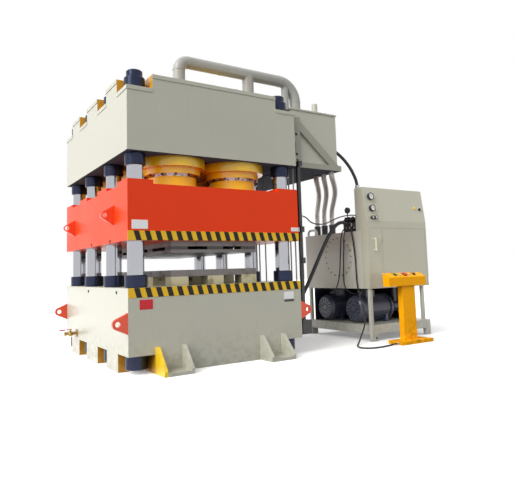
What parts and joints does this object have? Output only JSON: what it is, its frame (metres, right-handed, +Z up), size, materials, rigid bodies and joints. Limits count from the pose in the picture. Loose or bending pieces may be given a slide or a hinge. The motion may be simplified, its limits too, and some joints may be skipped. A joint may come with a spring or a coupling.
{
  "type": "hydraulic press",
  "caption": "Column-guided hydraulic moulding press with castellated frame, overhead cylinders, side prefill tank, separate power unit and push-button pedestal.",
  "frame": {"origin": "middle of the base's underside, on the floor", "axes": "+X to the right along the press's front, +Y to the rear, +Z up"},
  "size_m": [5.45, 3.336, 4.0305],
  "materials": {
    "frame_paint": "satin grey paint",
    "platen_paint": "glossy orange paint",
    "cylinder_paint": "glossy yellow paint",
    "collar_paint": "dark navy paint",
    "hard_chrome": "polished hard chrome",
    "bush_bronze": "machined bronze",
    "stripe_paint": "yellow and black stripes",
    "tool_steel": "machined, lightly oiled",
    "block_paint": "cream paint",
    "bolt_steel": "zinc plated",
    "pipe_paint": "satin light grey paint",
    "black_paint": "semi-gloss black paint",
    "motor_paint": "dark blue enamel on cast iron",
    "black_rubber": "matt black rubber",
    "cable_jacket": "black cable jacket",
    "gauge_face": "steel bezel with glass",
    "red_plastic": "red plastic",
    "green_plastic": "green plastic",
    "knob_plastic": "black plastic",
    "valve_steel": "plated steel",
    "lamp_glass": "white lamp lens"
  },
  "bodies": {
    "press": {"base_frame": "frame_paint", "foot_bracket_left": "cylinder_paint", "foot_bracket_right": "frame_paint", "base_lugs": "platen_paint", "crown_frame": "frame_paint", "columns_left": "hard_chrome", "columns_right": "hard_chrome", "tie_nuts": "collar_paint", "column_collars": "collar_paint", "base_hazard_strip": "stripe_paint", "head_nuts": "collar_paint", "gland_bolts": "bolt_steel", "lower_spacers": "block_paint", "lower_die_plate": "tool_steel", "prefill_pipe": "pipe_paint", "prefill_tank": "frame_paint", "tank_bracket": "frame_paint", "return_pipes": "pipe_paint", "pipe_bellows": "black_rubber", "switch_rail": "black_paint", "side_lines": "black_paint", "skid_frame": "frame_paint", "oil_tank": "frame_paint", "cabinet": "frame_paint", "panel_gauges": "gauge_face", "drive_motors": "motor_paint", "pumps": "black_paint", "valve_block": "black_paint", "drain_valve_body": "valve_steel", "pedestal_stand": "cylinder_paint", "pedestal_head": "cylinder_paint", "pressure_hose": "black_rubber", "switch_cable": "cable_jacket", "cabinet_hose": "black_rubber", "motor_cables": "cable_jacket", "pedestal_cable": "cable_jacket", "cord_fittings": "valve_steel", "pilot_lamps": "lamp_glass", "cylinder_1": "cylinder_paint", "cylinder_2": "cylinder_paint", "cylinder_3": "cylinder_paint", "cylinder_4": "cylinder_paint", "cylinder_5": "cylinder_paint", "cylinder_6": "cylinder_paint"},
    "slide": {"platen": "platen_paint", "guide_bushes": "bush_bronze", "platen_lugs": "platen_paint", "platen_hazard_strip": "stripe_paint", "rams": "hard_chrome", "upper_bolster": "tool_steel", "upper_spacers": "block_paint", "upper_die_plate": "tool_steel", "switch_striker": "black_paint"},
    "door": {"cabinet_door": "frame_paint", "door_handle": "hard_chrome"},
    "drain_lever": {"drain_valve_lever": "red_plastic"},
    "close_button": {"button_close": "green_plastic"},
    "open_button": {"button_open": "knob_plastic"},
    "stop_button": {"emergency_stop": "red_plastic"},
    "selector": {"mode_selector": "knob_plastic"}
  },
  "joints": [
    {"name": "platen_slide", "type": "slide", "parent": "press", "child": "slide", "axis": [0, 0, 1], "range_m": [-0.2, 0.02]},
    {"name": "door_hinge", "type": "hinge", "parent": "press", "child": "door", "pos_m": [2.92, -1.322, 1.28], "axis": [0, 0, 1], "range_deg": [0, 110]},
    {"name": "drain_lever_turn", "type": "hinge", "parent": "press", "child": "drain_lever", "pos_m": [-1.3, 0.795, 0.352], "axis": [0, 0, 1], "range_deg": [0, 90]},
    {"name": "close_button_push", "type": "slide", "parent": "press", "child": "close_button", "axis": [0, 0.4645, -0.8855], "range_m": [0, 0.008], "stiffness_N_per_m": 1500, "springref_m": -0.006},
    {"name": "open_button_push", "type": "slide", "parent": "press", "child": "open_button", "axis": [0, 0.4645, -0.8855], "range_m": [0, 0.008], "stiffness_N_per_m": 1500, "springref_m": -0.006},
    {"name": "stop_button_push", "type": "slide", "parent": "press", "child": "stop_button", "axis": [0, 0.4645, -0.8855], "range_m": [0, 0.008], "stiffness_N_per_m": 1500, "springref_m": -0.006},
    {"name": "selector_turn", "type": "hinge", "parent": "press", "child": "selector", "pos_m": [3.891, -1.28555, 2.066], "axis": [0, -0.992, 0.1261], "range_deg": [-45, 45]}
  ]
}
